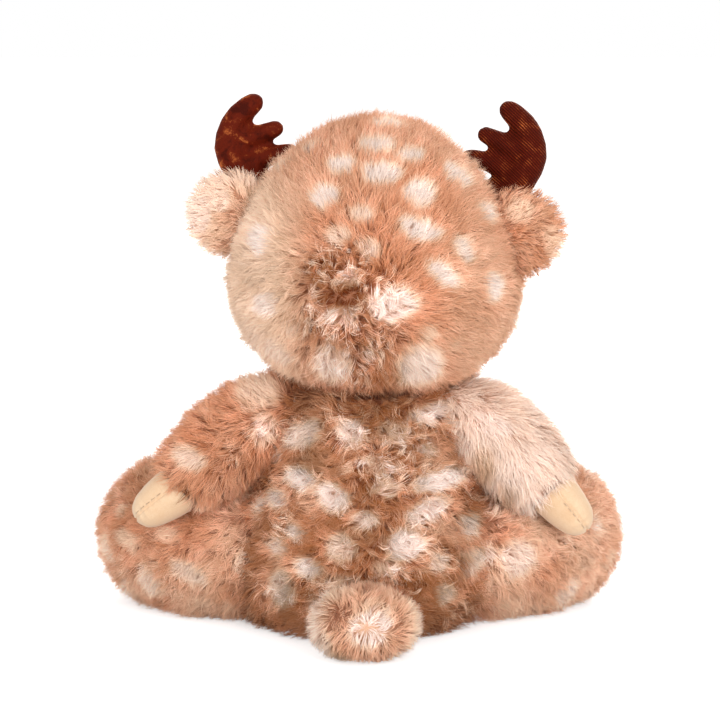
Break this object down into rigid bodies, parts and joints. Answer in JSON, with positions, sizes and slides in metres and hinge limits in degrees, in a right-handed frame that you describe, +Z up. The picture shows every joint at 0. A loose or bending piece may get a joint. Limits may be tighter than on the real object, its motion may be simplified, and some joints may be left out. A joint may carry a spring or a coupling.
{
  "type": "plush deer",
  "caption": "Seated plush deer with long curly pile, suede hooves, stuffed velvet antlers and a pompon tail; head, ears, antlers, limbs and tail move on hinges",
  "frame": {"origin": "on the floor, under the middle of the seat", "axes": "+Z up, the toy faces -Y, its left side is at +X"},
  "size_m": [0.2751, 0.2332, 0.2754],
  "materials": {
    "fur": "long curly pile",
    "lining": "short plush",
    "suede": "brushed suede cloth",
    "velvet": "crushed velvet",
    "plastic": "polished",
    "washer": "moulded",
    "nose": "satin stitch",
    "base": "short pile",
    "pouch": "plain woven"
  },
  "bodies": {
    "root": {"torso": "fur", "seat_panel": "base", "pellet_pouch": "pouch"},
    "neck": {"neck": "fur"},
    "head": {"head": "fur", "muzzle": "lining", "nose": "nose", "eye_left": "plastic", "eye_right": "plastic", "eye_washer_left": "washer", "eye_washer_right": "washer"},
    "ear_left": {"ear_left": "fur", "ear_lining_left": "lining"},
    "ear_right": {"ear_right": "fur", "ear_lining_right": "lining"},
    "antler_left": {"antler_left": "velvet"},
    "antler_right": {"antler_right": "velvet"},
    "arm_left": {"arm_left": "fur", "arm_hoof_left": "suede"},
    "arm_right": {"arm_right": "fur", "arm_hoof_right": "suede"},
    "leg_left": {"leg_left": "fur", "leg_hoof_left": "suede"},
    "leg_right": {"leg_right": "fur", "leg_hoof_right": "suede"},
    "tail": {"tail": "fur"}
  },
  "joints": [
    {"name": "head_turn", "type": "hinge", "parent": "root", "child": "neck", "pos_m": [-0.0066, 0.004, 0.126], "axis": [0, 0, 1], "range_deg": [-18.5, 31.5]},
    {"name": "head_nod", "type": "hinge", "parent": "neck", "child": "head", "pos_m": [-0.0066, 0.004, 0.126], "axis": [0.9933, -0.1132, 0.0244], "range_deg": [-6, 6]},
    {"name": "ear_left_fold", "type": "hinge", "parent": "head", "child": "ear_left", "pos_m": [0.06034, 0.00895, 0.21152], "axis": [-0.2865, 0.0326, 0.9575], "range_deg": [0, 20]},
    {"name": "ear_right_fold", "type": "hinge", "parent": "head", "child": "ear_right", "pos_m": [-0.07468, 0.02434, 0.20405], "axis": [-0.1838, 0.0209, -0.9827], "range_deg": [0, 20]},
    {"name": "antler_left_lean", "type": "hinge", "parent": "head", "child": "antler_left", "pos_m": [0.05006, -0.0085, 0.2262], "axis": [0.9933, -0.1132, 0.0244], "range_deg": [0, 12]},
    {"name": "antler_right_lean", "type": "hinge", "parent": "head", "child": "antler_right", "pos_m": [-0.06942, 0.00512, 0.22326], "axis": [0.9933, -0.1132, 0.0244], "range_deg": [0, 12]},
    {"name": "arm_left_lift", "type": "hinge", "parent": "root", "child": "arm_left", "pos_m": [0.04127, 0.006, 0.111], "axis": [0, -1, 0], "range_deg": [0, 40]},
    {"name": "arm_right_lift", "type": "hinge", "parent": "root", "child": "arm_right", "pos_m": [-0.05073, 0.006, 0.111], "axis": [0, 1, 0], "range_deg": [0, 40]},
    {"name": "leg_left_close", "type": "hinge", "parent": "root", "child": "leg_left", "pos_m": [0.06, -0.004, 0.038], "axis": [0, 0, -1], "range_deg": [0, 15]},
    {"name": "leg_right_close", "type": "hinge", "parent": "root", "child": "leg_right", "pos_m": [-0.06, -0.004, 0.03704], "axis": [0, 0, 1], "range_deg": [0, 15]},
    {"name": "tail_wag", "type": "hinge", "parent": "root", "child": "tail", "pos_m": [-0.002, 0.0705, 0.022], "axis": [0, 0, 1], "range_deg": [-15, 15]}
  ]
}
